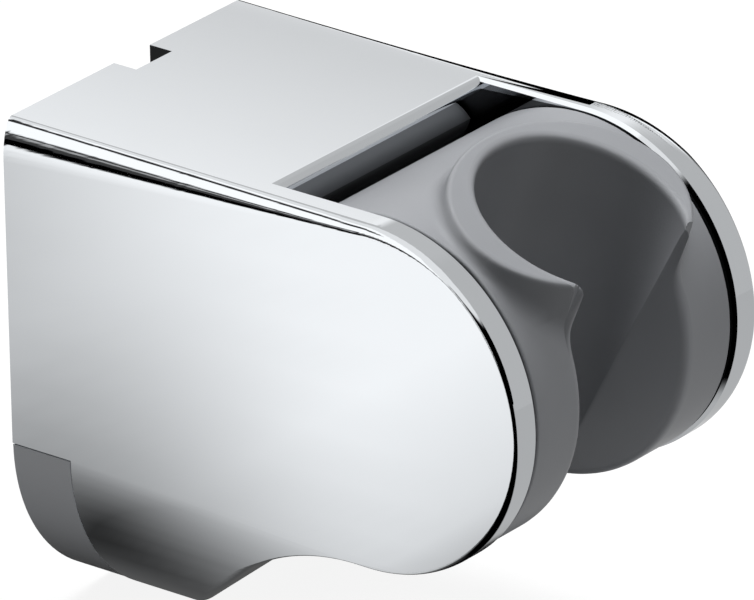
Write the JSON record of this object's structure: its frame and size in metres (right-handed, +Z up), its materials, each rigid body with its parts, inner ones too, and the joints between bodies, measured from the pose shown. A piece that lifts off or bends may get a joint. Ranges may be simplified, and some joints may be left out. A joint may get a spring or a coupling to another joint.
{
  "type": "hand shower holder",
  "caption": "Wall-mounted hand shower holder with a chromed housing and a tilting grey plastic cradle whose tapered socket is open at the front for the hose.",
  "frame": {"origin": "on the wall, midway between the screw holes of the wall plate", "axes": "+Y into the wall, -Y out into the room, +X along the width, +Z up"},
  "size_m": [0.044, 0.0714, 0.0655],
  "materials": {
    "housing_chrome": "mirror plating",
    "plate_plastic": "satin moulded",
    "cradle_plastic": "satin moulded",
    "bush_plastic": "natural acetal",
    "shoe_plastic": "dark elastomer",
    "spring_steel": "bright spring strip"
  },
  "bodies": {
    "holder_body": {"housing": "housing_chrome", "wall_plate": "plate_plastic", "pivot_bush_left": "bush_plastic", "pivot_bush_right": "bush_plastic", "friction_shoe": "shoe_plastic", "shoe_spring": "spring_steel"},
    "cradle": {"swivel_cradle": "cradle_plastic"}
  },
  "joints": [
    {"name": "cradle_tilt", "type": "hinge", "parent": "holder_body", "child": "cradle", "pos_m": [0, -0.0506, 0.0093], "axis": [1, 0, 0], "range_deg": [-24, 21]}
  ]
}
